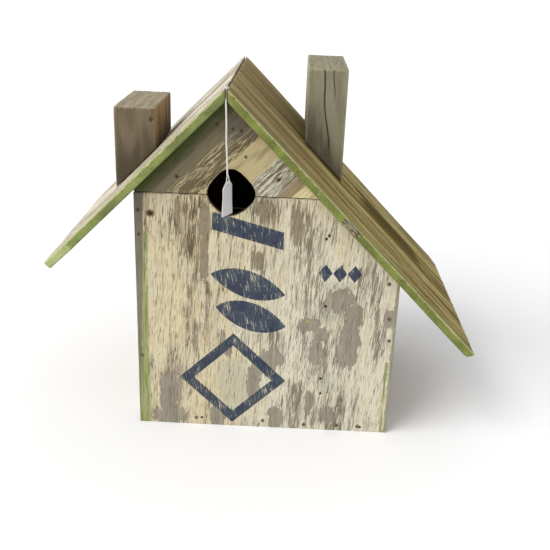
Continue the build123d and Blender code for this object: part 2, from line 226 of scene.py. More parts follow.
def weathered(node, material, body="box", turn=Matrix.Identity(4), cell=(1.4, 1.4, 1.4), grain="z",
              rounds=1, ridges=0.12, wear=1.2, cracks=(), pits=(), gouges=(), sound_end=None, reshape=None,
              seed=1):
    """A CAD node as old wood: raised grain, worn arrises, cracks, pits as (place, radius, depth) and
    gouges as (place, half sizes, depth), in mm in its own frame. Its end at sound_end keeps a sharp
    arris, and reshape moves the finished points."""
    mesh = even_mesh(node, turn, cell)
    smoothed(mesh, rounds)
    points, facing = vectors(mesh.vertices, "co"), vectors(mesh.vertex_normals, "vector")
    along = "xyz".index(grain)
    stretch, sway, edge_cells = np.full((3, 3), ((1 / 2.2,), (1 / 9.0,), (1 / 5.0,)))
    stretch[along], sway[along], edge_cells[along] = 1 / 45, 1 / 120, 1 / 14
    height = ridges * 2 * (noise(points * stretch, seed, 2) - 0.75)
    height += ridges * 1.5 * (noise(points * sway, seed + 3) - 0.8)
    chips = np.clip(noise(points * edge_cells, seed + 7, 2) - 0.35, 0, 1)
    if sound_end is not None:
        chips *= np.clip(np.abs(points[:, along] - sound_end) / 14 - 0.4, 0, 1)
    # About 0 on flat faces of a square piece, up to 0.4 where the surface turns an arris
    edge = 1 - np.abs(facing).max(axis=1)
    height -= wear * 3.2 * edge * chips
    for crack in cracks:
        run, left = points[:, along] - crack.start, crack.end - points[:, along]
        centre = crack.at + crack.lean * run + crack.sway * np.sin(run / crack.wave)
        off = (points[:, "xyz".index(crack.across)] - centre) / crack.width
        ends = np.clip(run / 12, 0, 1) * np.clip(left / 12, 0, 1)
        sideways = 1 - np.abs(facing[:, along])
        height -= crack.depth * np.exp(-off * off) * np.sqrt(ends) * sideways
    for place, radius, depth in pits:
        off = np.linalg.norm(points - np.array(place), axis=1) / radius
        height -= depth * np.exp(-off**4)
    for place, half, depth in gouges:
        off = np.linalg.norm((points - np.array(place)) / np.array(half), axis=1)
        splinters = noise(points * stretch * 1.6, seed + 17, 2)
        height -= depth * np.clip(1.2 - off, 0, 1) * np.clip(2.2 * splinters - 0.5, 0, 1)
    move_vertices(mesh, points + facing * height[:, None])
    mesh.transform(Matrix.Scale(MM, 4))
    mesh.transform(turn)
    if reshape:
        move_vertices(mesh, reshape(vectors(mesh.vertices, "co")))
    return finish_piece(new_object("old_" + node, mesh), body, material, [node])


def hand_cut_hole(points):
    """Makes the round entrance a little uneven, as a hand saw leaves it."""
    off = points[:, [0, 2]] - np.array([ENTRANCE.x, ENTRANCE.z])
    reach = np.linalg.norm(off, axis=1)
    angle = np.arctan2(off[:, 1], off[:, 0])
    uneven = 1.1 * np.cos(4 * angle) + 0.5 * np.cos(3 * angle + 1.0) - 0.35
    near = np.clip(1 - np.abs(reach - ENTRANCE_RADIUS) / (9 * MM), 0, 1)
    points[:, [0, 2]] += off / np.maximum(reach, MM)[:, None] * (uneven * MM * near)[:, None]
    return points


def swollen_mitre(points):
    """Closes most of the mitre gap behind the string, where the boards' cut ends have swollen."""
    off = points[:, 0] - RIDGE_X
    near = np.clip(1 - (np.abs(off) - 1.2 * MM) / (4 * MM), 0, 1)
    behind = np.clip((points[:, 1] - ROOF_FRONT - 5 * MM) / (6 * MM), 0, 1)
    points[:, 0] -= np.sign(off) * 0.7 * MM * near * behind
    return points


# ---- Material tools ----


class Value:
    """A shader node's output. Arithmetic on it adds a Math node."""

    def __init__(self, shader, socket):
        self.shader = shader
        self.socket = socket

    def __add__(self, other):
        return self.shader.math("ADD", self, other)

    def __sub__(self, other):
        return self.shader.math("SUBTRACT", self, other)

    def __rsub__(self, other):
        return self.shader.math("SUBTRACT", other, self)

    def __mul__(self, other):
        return self.shader.math("MULTIPLY", self, other)

    def __truediv__(self, other):
        return self.shader.math("DIVIDE", self, other)

    def __abs__(self):
        return self.shader.math("ABSOLUTE", self)


class Shader:
    """A node material under construction, with the shade so far. Its methods add nodes."""

    def __init__(self, name):
        self.material = bpy.data.materials.new(name)
        self.material.use_nodes = True
        self.tree = self.material.node_tree
        self.surface = self.tree.nodes["Principled BSDF"]
        # The object's own coordinates, in mm, which stay with the piece when it moves
        place = self.add("ShaderNodeTexCoord", output="Object")
        self.place = self.vector("MULTIPLY", place, (1000, 1000, 1000))

    def add(self, kind, inputs=(), output=0, **settings):
        """A node of this kind, with settings and its inputs linked or set, in order or by name."""
        node = self.tree.nodes.new(kind)
        for key, value in settings.items():
            setattr(node, key, value)
        pairs = inputs.items() if isinstance(inputs, dict) else enumerate(inputs)
        for key, value in pairs:
            if value is not None:
                self.feed(node.inputs[key], value)
        return Value(self, node.outputs[output])

    def feed(self, socket, value):
        """Links an input to a value, or sets it to a constant."""
        if isinstance(value, Value):
            self.tree.links.new(value.socket, socket)
        else:
            socket.default_value = value

    def math(self, operation, *values, clamp=False):
        return self.add("ShaderNodeMath", values, operation=operation, use_clamp=clamp)

    def vector(self, operation, *values, output=0):
        return self.add("ShaderNodeVectorMath", values, operation=operation, output=output)

    def split(self, vector):
        node = self.tree.nodes.new("ShaderNodeSeparateXYZ")
        self.feed(node.inputs[0], vector)
        return [Value(self, output) for output in node.outputs]

    def turned(self, degrees):
        """The place turned about Y, for a board whose grain slopes."""
        return self.add("ShaderNodeVectorRotate", {"Vector": self.place, "Angle": radians(degrees)},
                        rotation_type="Y_AXIS")

    def noise(self, size, seed=0, vector=None, detail=3.0, roughness=0.5, distortion=0.0):
        """Noise at the place or another vector; its cells have this size in mm."""
        scaled = self.vector("MULTIPLY", vector or self.place, tuple(1 / s for s in size))
        moved = self.vector("ADD", scaled, (seed, seed * 1.7, seed * 2.3))
        inputs = {"Vector": moved, "Scale": 1.0, "Detail": detail, "Roughness": roughness,
                  "Distortion": distortion}
        return self.add("ShaderNodeTexNoise", inputs)

    def step(self, value, start, end, low=0.0, high=1.0):
        """From low to high as value goes from start to end."""
        return self.add("ShaderNodeMapRange", (value, start, end, low, high),
                        interpolation_type="SMOOTHSTEP")

    def mix(self, share, first, second):
        node = self.tree.nodes.new("ShaderNodeMix")
        node.data_type = "RGBA"
        for key, value in ((0, share), (6, first), (7, second)):
            self.feed(node.inputs[key], colour(*value) if isinstance(value, tuple) else value)
        return Value(self, node.outputs[2])

    def blend(self, first, second, value, start, end, most=1.0):
        """From the first shade towards the second, at most this far, as value goes from start to end."""
        return self.mix(self.step(value, start, end, 0.0, most), first, second)

    def bands(self, value, full, *stops):
        """A ramp through (distance, colour or grey level) stops; value and distances run from 0 to full."""
        node = self.tree.nodes.new("ShaderNodeValToRGB")
        self.feed(node.inputs[0], value / full)
        elements = node.color_ramp.elements
        while len(elements) < len(stops):
            elements.new(0.5)
        for element, (distance, shade) in zip(elements, stops):
            element.position = distance / full
            element.color = colour(*shade) if isinstance(shade, tuple) else (shade, shade, shade, 1)
        return Value(self, node.outputs[0])

    def crack(self, across, along, crack):
        """1 in a crack, 0 outside it."""
        run = along - crack.start
        wander = self.math("SINE", run / crack.wave) * crack.sway
        centre = run * crack.lean + crack.at + wander
        off = abs(across - centre)
        ends = self.least(run, crack.end - along)
        narrow = self.step(ends, 0.0, 30.0, 0.2, 1.0)
        inside = self.step(off / (narrow * crack.width), 1.2, 0.5)
        return inside * self.step(ends, 0.0, 3.0)

    def least(self, result, *others):
        """The smallest of several values."""
        for value in others:
            result = self.math("MINIMUM", result, value)
        return result

    def greatest(self, result, *others):
        """The largest of several values."""
        for value in others:
            result = self.math("MAXIMUM", result, value)
        return result

    def spot(self, centre, size):
        """1 at centre, 0 on an ellipsoid of these half sizes in mm, negative outside."""
        off = self.vector("SUBTRACT", self.place, centre)
        off = self.vector("MULTIPLY", off, tuple(1 / s for s in size))
        return 1.0 - self.vector("LENGTH", off, output=1)

    def lay(self, tint, value, start=None, end=None, most=1.0):
        """Lays a tint over the shade by value, or, at most this far, as value goes from start to end."""
        share = value if start is None else self.step(value, start, end, 0.0, most)
        self.shade = self.mix(share, self.shade, tint)

    def finish(self, roughness, height, relief=0.3, specular=0.25):
        self.feed(self.surface.inputs["Base Color"], self.shade)
        self.feed(self.surface.inputs["Roughness"], roughness)
        self.surface.inputs["Specular IOR Level"].default_value = specular
        bump = self.add("ShaderNodeBump", {"Strength": 1.0, "Distance": relief * MM, "Height": height})
        self.feed(self.surface.inputs["Normal"], bump)
        return self.material


# The studio lights a sunlit face this much brighter than white paper should look
LIGHT_LEVEL = 1.13


def colour(*levels):
    """A shader colour from the 0 to 255 red, green and blue that it should show in the studio's light."""
    shares = [level / 255 for level in levels]
    linear = [c / 12.92 if c <= 0.04045 else ((c + 0.055) / 1.055) ** 2.4 for c in shares]
    return (*[c / LIGHT_LEVEL for c in linear], 1)


# ---- Wood and paint ----

RIDGE_X_MM = RIDGE_X / MM
FRONT_MM = FRONT_Y / MM
SQUARE = sqrt(0.5)


def sizes(grain, across, along):
    """The three sizes of a noise cell that is drawn out along the grain."""
    return tuple(along if axis == grain else across for axis in "xyz")


def scaled(shade, share):
    return tuple(c * share for c in shade)


def toned(s, shade, tone, start, end, darkest, palest):
    """A shade that goes from its darkest to its palest as tone goes from start to end."""
    return s.blend(scaled(shade, darkest), scaled(shade, palest), tone, start, end)


def bare_wood(s, vector, grain, pale=(158, 143, 117), dark=(104, 88, 66), contrast=1.0, seed=0):
    """Weathered wood's colour and height: soft bands, fine grain lines and dark pores."""
    bands = s.noise(sizes(grain, 6, 130), seed, vector, distortion=0.4)
    lines = s.noise(sizes(grain, 0.9, 38), seed + 4, vector, roughness=0.6)
    pores = s.noise(sizes(grain, 0.55, 14), seed + 9, vector, detail=2)
    tone = bands * 0.6 + lines * 0.4
    spread = 0.14 / contrast
    shade = s.blend(dark, pale, tone, 0.5 - spread, 0.5 + spread)
    shade = s.blend(shade, scaled(dark, 0.45), pores, 0.6, 0.74, 0.5 * contrast)
    return shade, lines - s.step(pores, 0.58, 0.7, 0.0, 0.5)


def flaked(s, vector, grain, wear, fine=1.1, limits=(0.66, 0.41), seed=0):
    """Where paint holds, 1, or has flaked off along the grain, 0, and the thin band along each flake's edge,
    where callers lay painted shade.
    wear is from 0, sound, to 1, worn; limits are the noise levels above which each loses its paint."""
    dashes = s.noise(sizes(grain, fine, fine * 17), seed, vector, detail=4, roughness=0.6)
    streaks = s.noise(sizes(grain, fine * 4.5, fine * 60), seed + 5, vector, roughness=0.6)
    loss = dashes * 0.64 + streaks * 0.36
    spare = s.step(wear, 0.0, 1.0, *limits) - loss
    return s.step(spare, -0.006, 0.008), s.step(spare, 0.03, 0.004)


def front_point(u, z):
    """A place on the front, u mm from the ridge line and z mm up."""
    return (RIDGE_X_MM + u, FRONT_MM, z)


def areas(s, spots):
    """The largest of several soft ellipses on an upright face: (u, z, half width, half height)."""
    return s.greatest(*[s.spot(front_point(u, z), (wide, 400, tall)) for u, z, wide, tall in spots])


# Where the front's paint has gone to bare wood: u, z, half width, half height
BARE_PATCHES = (
    (-66, 38, 12, 34), (-64, 10, 22, 17), (-8, 11, 10, 15), (63, 13, 10, 18),
    (57, 96, 15, 13), (46, 84, 15, 15), (35, 60, 9, 26),
    (131, 172, 20, 16), (148, 152, 11, 22), (146, 118, 12, 36), (98, 140, 14, 9), (112, 128, 12, 10),
    (107, 106, 9, 18), (103, 38, 6, 20), (191, 154, 11, 13), (40, 277, 10, 8), (-23, 262, 6, 26),
    (-24, 215, 5.5, 32), (-54, 270, 3.5, 17), (79, 256, 6, 20), (5, 105, 4, 15), (37, 215, 5, 12),
    (128, 20, 10, 12), (-2, 120, 3, 10),
)
GREY_PATCHES = ((120, 60, 14, 13), (118, 152, 16, 10), (88, 165, 10, 8), (12, 60, 22, 40), (136, 190, 22, 7))
# Where it is thin and crazed rather than gone
WORN_AREAS = (
    (-40, 252, 34, 52), (-30, 165, 20, 120), (96, 215, 24, 90), (84, 262, 20, 34), (50, 275, 36, 20),
    (158, 175, 18, 66), (116, 120, 44, 60), (178, 130, 18, 40), (60, 118, 36, 18), (85, 30, 18, 46),
    (132, 22, 44, 34), (8, 78, 26, 46), (36, 216, 14, 20), (-60, 60, 26, 40), (150, 40, 20, 22),
)
SOUND_AREAS = (
    (-76, 170, 14, 100), (-8, 232, 22, 16), (130, 232, 18, 20), (174, 62, 12, 56), (84, 88, 10, 32),
    (38, 168, 18, 12), (46, 60, 12, 24), (10, 150, 16, 40), (8, 66, 30, 40), (160, 90, 12, 70),
    (166, 40, 22, 40),
)
BROWN_AREAS = ((-38, 250, 30, 52), (84, 258, 16, 34))
# Where the blue shapes have gone with the paint
BLUE_GONE = ((-10, 16, 9, 9), (58, 100, 4, 3))


def front_heads(node):
    """Where the nails of a CAD node show on the front, as (u, z): the foremost points of each solid."""
    mesh = bmesh.new()
    mesh.from_mesh(nodes[node].data)
    bmesh.ops.remove_doubles(mesh, verts=mesh.verts, dist=1e-6)
    left, places = dict.fromkeys(mesh.verts), []
    while left:
        solid, reached = [], [left.popitem()[0]]
        while reached:
            vertex = reached.pop()
            solid.append(vertex.co)
            for edge in vertex.link_edges:
                other = edge.other_vert(vertex)
                if other in left:
                    del left[other]
                    reached.append(other)
        points = np.array(solid) / MM
        middle = points[points[:, 1] < points[:, 1].min() + 0.05].mean(axis=0)
        places.append((middle[0] - RIDGE_X_MM, middle[2]))
    mesh.free()
    return places


def marks(s, centres, size):
    """The largest of several soft round marks of one size on the front."""
    return s.greatest(*[s.spot(front_point(*centre), size) for centre in centres])


def nail_stains(s, node, head_size, holes, hole_size, tint, ragged):
    """Stains the shade round a node's nails and old holes. Returns the holes."""
    heads = marks(s, front_heads(node), head_size)
    old = marks(s, holes, hole_size)
    s.lay(tint, s.greatest(heads, old) + ragged * 0.5, 0.1, 0.5, 0.8)
    return old


OLD_NAIL_HOLES = ((115, 70), (115.8, 50.3), (115.6, 164.2), (111.6, 245.3), (114.7, 249.4), (-26.1, 9.2),
                  (166.2, 5.7))
GABLE_SPOTS = ((20.3, 334), (6.1, 363.3), (15, 361.9), (-10.8, 367.9))


def bar_shape(s, u, z, centre, half, slope):
    """A bar with upright ends: how far inside it a point is, in mm."""
    off_u = u - centre[0]
    off_z = z - centre[1] + off_u * slope
    return s.least(half[0] - abs(off_u), half[1] - abs(off_z))


def diamond_shape(u, z, centre, half):
    """A diamond: how far inside it a point is, as a share of its half size."""
    return 1.0 - (abs(u - centre[0]) / half[0] + abs(z - centre[1]) / half[1])


def leaf_shape(s, u, z, centre, half, slope):
    """A leaf between two arcs: how far inside it a point is, in mm."""
    off_u = u - centre[0]
    off_z = z - centre[1] + off_u * slope
    radius = (half[0] ** 2 + half[1] ** 2) / (2 * half[1])
    ups = [off_z + side * (radius - half[1]) for side in (-1, 1)]
    return s.least(*[radius - s.math("SQRT", off_u * off_u + up * up) for up in ups])


def painted_shapes(s, u, z):
    """A mask of a slanting bar, a pair of leaves, a hollow diamond and three small diamonds."""
    slope = 0.26
    outer = diamond_shape(u, z, (10.5, 65), (63, 60))
    small = [diamond_shape(u, z, (middle, 205), (8, 10.5)) * 8.0 for middle in (113, 129.5, 146)]
    shapes = s.greatest(bar_shape(s, u, z, (24.6, 251), (40, 10.4), slope),
                        leaf_shape(s, u, z, (26, 187), (43, 17), slope),
                        leaf_shape(s, u, z, (30, 147), (41, 18), slope),
                        s.least(outer, 0.27 - outer) * 45.0, *small)
    return s.step(shapes, -0.2, 0.3)


def bare_and_shaded_inside(s, x, y, wood):
    """Lays darkened bare wood over a board's surfaces that face into the box; the darkening is painted shade
    inside the box.
    """
    depth = s.least(x - WALL_LEFT / MM, WALL_RIGHT / MM - x, y - FRONT_MM, BACK_Y / MM - y)
    # Painted shade: the inside faces get wood much darker than its own colour
    s.lay(s.mix(0.8, wood, (54, 44, 31)), depth, 1.5, 2.5)


def finish_cream(s, x, y, wood, holds, grain):
    """Finishes a cream board, whose paint stands proud and shines a little more than its wood."""
    bare_and_shaded_inside(s, x, y, wood)
    return s.finish(s.step(holds, 0.0, 1.0, 0.85, 0.65), holds * 0.7 + grain * 0.45, relief=0.35)


def front_wear(s, blotches, patches):
    """How worn the front's paint is, from 0 to 1."""
    worn = s.step(areas(s, WORN_AREAS), -0.2, 0.75)
    sound = s.step(areas(s, SOUND_AREAS), -0.1, 0.5)
    brown = s.step(areas(s, BROWN_AREAS), -0.1, 0.8)
    columns = s.noise((9, 9, 260), 31, roughness=0.6) - 0.5
    wear = worn * 0.42 + blotches * 1.3 + brown * 0.36 + columns * 1.7
    wear += s.step(patches, -0.2, 0.1, 0.15, 0.34)
    return s.math("SUBTRACT", wear, sound * 0.32, clamp=True)


def front_coat(s, leaning, ragged, cooler, thin, rim_shade):
    """The front's cream paint, with its undercoat, streaks, painted shade along the flakes' edges and grey
    areas.
    """
    tint = s.noise((38, 38, 75), 12)
    cream = s.blend((210, 197, 162), (203, 194, 166), tint, 0.4, 0.62)
    cream = s.mix(cooler * 0.85, cream, (212, 207, 186))
    paint = s.mix(thin, s.mix(cooler, (184, 170, 138), (188, 184, 166)), cream)
    streaks = s.noise((2.2, 2.2, 26), 2, leaning)
    paint = s.blend(paint, (178, 163, 126), streaks, 0.46, 0.72, 0.4)
    # Painted shade: a dark band along each flake's edge
    paint = s.mix(rim_shade * 0.55, paint, (122, 106, 78))
    grey = s.step(areas(s, GREY_PATCHES) + ragged * 1.5, 0.0, 0.3)
    return s.mix(grey * 0.5, paint, (172, 170, 150))


def front_wood(s, z, wood, cooler, patch):
    """The front's bare wood: grey in the large patches, dark in the hollows of small flakes."""
    old = s.step(s.noise((12, 12, 26), 16, detail=4), 0.4, 0.6)
    wood = s.mix(old * 0.35, wood, (150, 144, 130))
    wood = s.blend(wood, (142, 126, 98), z, 150, 220, 0.6)
    bands = s.noise((5, 5, 60), 33)
    hollow = s.blend((82, 68, 44), (126, 110, 84), bands, 0.42, 0.58)
    hollow = s.mix(cooler * 0.75, hollow, (128, 120, 104))
    return s.mix(0.8 - s.greatest(patch, old) * 0.8, wood, hollow)


def blue_shapes(s, u, z, ragged):
    """Adds the front's scratched and scuffed blue shapes."""
    scratches = s.noise((0.6, 0.6, 15), 1, s.turned(11), detail=2, roughness=0.5)
    scuffs = s.noise((17, 17, 22), 8)
    limit = s.step(scuffs, 0.42, 0.66, 0.68, 0.585)
    gone = s.step(areas(s, BLUE_GONE) + ragged, 0.1, 0.2)
    blue = painted_shapes(s, u + ragged * 1.2, z) * s.step(limit - scratches, -0.008, 0.008) * (1.0 - gone)
    s.lay(s.blend((38, 46, 70), (54, 68, 82), scuffs, 0.35, 0.62), blue * 0.97)


def green_stripes(s, u, z, ragged):
    """Adds the green stripes along the front's edges, and the dirt outside them."""
    left_edge = z * 0.036 - 101.0
    left = s.least(u - left_edge, -88.0 - u, 246.0 - z)
    right = s.least(u - 189.0, 193.0 - u, 96.0 - z)
    stripe = s.step(s.greatest(left, right) + ragged * 5.0, -0.8, 1.4)
    faded = s.noise((2.4, 2.4, 40), 6, detail=4)
    green = s.blend((120, 130, 70), (158, 164, 108), faded, 0.36, 0.62)
    s.lay(green, stripe * s.step(faded, 0.66, 0.5, 0.35, 0.95))
    s.lay((112, 107, 90), s.step(u - left_edge + ragged * 4.0, 1.0, -1.0) * 0.8)
    s.lay((150, 144, 112), s.step(u + ragged * 5.0, 194.5, 196.5) * 0.7)


def front_paint():
    """The lower front board: cream paint that flakes along an upright grain, with all its marks."""
    s = Shader("front_paint")
    x, y, z = s.split(s.place)
    u = x - RIDGE_X_MM
    leaning = s.turned(-4)
    ragged = s.noise((8, 8, 15), 3, detail=6, roughness=0.72) - 0.5
    blotches = s.noise((26, 26, 60), 7) - 0.5
    patches = areas(s, BARE_PATCHES) + ragged * 2.2
    patch = s.step(patches, 0.09, 0.14)
    wear = front_wear(s, blotches, patches)
    holds, rim_shade = flaked(s, leaning, "z", wear, fine=0.95, limits=(0.6, 0.482))
    thin = flaked(s, leaning, "z", wear, fine=1.5, limits=(0.57, 0.44), seed=21)[0]
    cooler = s.step(s.step(u, -50, 90) + blotches * 2.4, 0.25, 0.95) * s.step(z, 290, 190, 0.5, 1.0)
    margin = s.step(s.greatest(-92.5 - u, u - 194.5) + ragged * 4.0, -1.0, 1.0)
    holds = holds * (1.0 - patch) * (1.0 - margin * 0.8)
    wood, grain = bare_wood(s, s.place, "z", (164, 156, 140), (130, 121, 106), contrast=0.7)
    wood = front_wood(s, z, wood, cooler, patch)
    s.shade = s.mix(holds, wood, front_coat(s, leaning, ragged, cooler, thin, rim_shade))
    # Painted shade: thin dark lines that stand in for the shadows beside the flakes
    shade_lines = s.noise((0.5, 0.5, 15), 27, leaning, detail=2, roughness=0.5) + wear * 0.05
    s.lay((100, 84, 58), shade_lines, 0.6, 0.66, 0.8)
    blue_shapes(s, u, z, ragged)
    green_stripes(s, u, z, ragged)
    holes = nail_stains(s, "front_board_nails", (3.4, 9, 3.8), OLD_NAIL_HOLES, (2.4, 9, 2.6),
                        (92, 80, 62), ragged)
    s.lay((44, 36, 30), holes, 0.35, 0.6)
    knot = s.spot(front_point(-83.7, 266.9), (6.4, 20, 5.0)) + ragged * 0.4
    s.lay((120, 90, 54), knot, 0.0, 0.3, 0.85)
    s.lay((58, 40, 24), knot, 0.4, 0.6)
    speck = s.spot(front_point(95.7, 144.2), (2.0, 9, 2.4))
    s.lay((186, 168, 62), speck, 0.1, 0.5, 0.8)
    return finish_cream(s, x, y, wood, holds, grain)


def gable_paint():
    """The gable board: its grain and its bands of old colours run parallel to the left roof slope. The dark
    green band next to the roof is partly green paint and partly painted shadow of the roof's overhang, and a
    grey patch under the ridge is painted shade.
    """
    s = Shader("gable_paint")
    x, y, z = s.split(s.place)
    u = x - RIDGE_X_MM
    sloped = s.turned(45)
    ragged = s.noise((26, 26, 5), 3, sloped, detail=4, roughness=0.65) - 0.5
    from_roof = (u + UNDERSIDE_Z / MM - z) * SQUARE
    band = from_roof + ragged * 12.0
    wood, grain = bare_wood(s, sloped, "x", (142, 126, 98), (84, 72, 50), seed=2)

    full = 150.0
    # The first stops, dark green next to the roof, are partly green paint and partly painted shadow of the
    # roof's overhang
    paint = s.bands(band, full, (0, (62, 74, 28)), (6, (74, 82, 40)), (11, (92, 90, 58)),
                    (16, (126, 117, 92)), (26, (122, 112, 86)), (29, (186, 176, 138)), (40, (188, 176, 136)),
                    (50, (190, 176, 134)), (53, (184, 168, 125)), (80, (186, 171, 130)),
                    (84, (198, 194, 174)), (109, (200, 195, 174)), (112, (148, 130, 100)),
                    (122, (150, 132, 100)), (125, (220, 204, 156)))
    wear = s.bands(band, full, (0, 0.0), (17, 0.1), (26, 0.45), (29, 0.74), (38, 0.84), (41, 0.9),
                   (49, 0.84), (54, 0.1), (78, 0.12), (84, 0.68), (109, 0.66), (112, 0.2), (126, 0.15))
    holds = flaked(s, sloped, "x", wear, fine=0.6, limits=(0.65, 0.46), seed=6)[0]
    dark_wood = s.bands(band, full, (0, 0.2), (26, 0.3), (40, 1.0), (50, 1.0), (54, 0.2), (150, 0.3))
    wood = s.mix(dark_wood * 0.7, wood, (96, 84, 54))
    s.shade = s.mix(holds, wood, paint)
    # Painted shade: a grey patch under the ridge, below the green band
    apex_shade = s.spot(front_point(14, 370), (30, 400, 24))
    grey = s.step(apex_shade + ragged * 2.0, 0.0, 0.5, 0.0, 0.75)
    s.lay((104, 97, 80), grey * s.step(from_roof, 12, 17))
    shadowed = s.noise((40, 40, 9), 22, sloped)
    s.lay((110, 98, 74), shadowed, 0.52, 0.66, 0.4)
    cracks = s.noise((60, 60, 0.7), 14, sloped, detail=2)
    s.lay((64, 54, 38), cracks, 0.62, 0.7, 0.6)
    nail_stains(s, "gable_nails", (3.2, 9, 3.4), GABLE_SPOTS, (2.6, 9, 2.8), (58, 50, 40), ragged)
    # Painted shade on the faces inside the box
    bare_and_shaded_inside(s, x, y, wood)
    return s.finish(0.72, holds * 0.6 + grain * 0.5, relief=0.4)


def wall_paint():
    """The sides, the back and the door: the same old cream paint outside, bare wood inside, darkened with
    painted shade.
    """
    s = Shader("wall_paint")
    x, y, z = s.split(s.place)
    wood, grain = bare_wood(s, s.place, "z", (160, 146, 124), (122, 106, 84), contrast=0.7)
    ragged = s.noise((22, 22, 46), 8, detail=6, roughness=0.62)
    patch = s.step(ragged, 0.585, 0.592)
    near = s.step(ragged, 0.5, 0.585)
    blotches = s.noise((34, 34, 80), 3, roughness=0.6)
    wear = s.math("ADD", s.step(blotches, 0.35, 0.68, 0.0, 0.7), near * 0.4, clamp=True)
    holds, rim_shade = flaked(s, s.place, "z", wear, fine=0.8, limits=(0.61, 0.482), seed=2)
    holds *= 1.0 - patch
    tint = s.noise((45, 45, 90), 5)
    paint = s.blend((216, 201, 162), (202, 197, 176), tint, 0.38, 0.62)
    streaks = s.noise((2.2, 2.2, 26), 12)
    paint = s.blend(paint, (184, 167, 128), streaks, 0.42, 0.7, 0.4)
    # Painted shade: a dark band along each flake's edge
    paint = s.mix(rim_shade * 0.45, paint, (126, 110, 82))
    s.shade = s.mix(holds, wood, paint)
    s.lay((120, 112, 84), z + blotches * 40.0, 44, 16, 0.35)
    return finish_cream(s, x, y, wood, holds, grain)


def under_roof(s):
    """How far a point is below the roof's top faces, square to them, in mm."""
    x, _, z = s.split(s.place)
    return (RIDGE_Z / MM - (z + abs(x - RIDGE_X_MM))) * SQUARE


def roof_edges(s, node, green, clip, seed):
    """Adds a roof board's chipped green edges, with a painted highlight along the top arris and on the cut
    corner's paler green facet. clip is its cut corner: (1 behind or -1 in front, how far it reaches along
    the slope, how far along the eave)."""
    x, y, z = s.split(s.place)
    depth = under_roof(s)
    run = max(abs(end.x - RIDGE_X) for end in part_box(node)) / MM
    down = (z - RIDGE_Z / MM - abs(x - RIDGE_X_MM)) * -SQUARE
    to_eave = run * sqrt(2) - down
    to_front = y - ROOF_FRONT / MM
    to_back = ROOF_BACK / MM - y
    side, along, deep = clip
    to_corner = to_eave * (1 / along) + (to_front if side < 0 else to_back) * (1 / deep)
    to_clip = (to_corner - 1.0) * (along * deep / hypot(along, deep))
    eave_face = to_eave - depth * 0.12
    chips = s.noise((5, 5, 5), seed, detail=5, roughness=0.7) - 0.5
    nearest = s.least(s.least(to_front, to_back), s.least(eave_face, to_clip))
    edge = s.step(nearest + chips * 2.0, 1.5, 0.8)
    arris = s.step(depth + chips * 6.0, 1.1, 0.3) * s.step(nearest, 3.0, 1.2)
    tone = s.noise((24, 24, 24), seed + 3, detail=4)
    green = toned(s, green, tone, 0.35, 0.65, 0.86, 1.08)
    scuff = s.step(s.noise((2.2, 2.2, 2.2), seed + 5, detail=4), 0.66, 0.72)
    green = s.mix(scuff * 0.45, green, (200, 200, 156))
    dirt = s.noise((3.0, 3.0, 3.0), seed + 8, detail=5, roughness=0.7)
    green = s.blend(green, (84, 88, 44), dirt, 0.55, 0.68, 0.7)
    # Painted highlight: the cut corner's facet is a paler green
    green = s.mix(s.step(to_clip, 2.0, 1.0) * 0.55, green, (190, 200, 140))
    s.lay(green, edge)
    # Painted highlight along the top arris
    s.lay((200, 196, 150), arris * 0.6)
    s.lay((96, 92, 62), depth, 8.0, 9.2)


def roof_left_paint():
    """The short slope: pale worn paint with faint streaks down the slope."""
    s = Shader("roof_left_paint")
    y = s.split(s.place)[1]
    sloped = s.turned(45)
    wood, grain = bare_wood(s, sloped, "x", (162, 146, 118), (116, 98, 72), contrast=0.9, seed=5)
    wear = s.step(s.noise((160, 16, 16), 2, sloped, detail=4), 0.34, 0.6)
    holds = flaked(s, sloped, "x", wear, fine=1.3, limits=(0.6, 0.47), seed=9)[0]
    tint = s.noise((200, 14, 14), 4, sloped)
    paint = s.blend((224, 214, 200), (206, 199, 176), tint, 0.35, 0.65)
    s.shade = s.mix(holds, wood, paint)
    mossy = s.step(y, ROOF_FRONT / MM + 50, ROOF_FRONT / MM) + (tint - 0.5)
    s.lay((158, 158, 112), mossy, 0.3, 1.0, 0.5)
    roof_edges(s, "roof_left_board", (124, 134, 74), (-1, 40, 14), 1.0)
    return s.finish(0.7, holds * 0.5 + grain * 0.6, relief=0.4)


def roof_grooves(places, start, end, seed):
    """Weathered-out grain: grooves down a slope at these distances from the roof's front edge."""
    grooves = []
    for number, place in enumerate(places):
        step = (number * 7 + seed) % 5
        grooves.append(Crack(across="y", at=ROOF_FRONT / MM + place, lean=0.004 * (step - 2),
                             sway=0.7 + 0.2 * step, wave=31 + 6 * step, start=start + 9 * step,
                             end=end - 31 * (step % 3), width=0.9 + 0.12 * step, depth=0.7 + 0.16 * step))
    return grooves


SLOPE_TOP = (RIDGE_X_MM - RIDGE_Z / MM) * SQUARE
RIGHT_GROOVES = roof_grooves((12, 27, 38, 60, 77, 96, 113, 122, 143, 168, 189, 207, 228, 247, 266, 284),
                             SLOPE_TOP - 20, SLOPE_TOP + 420, 2)


# How far right of the ridge the long slope's front edge is torn
TORN_AT = 137


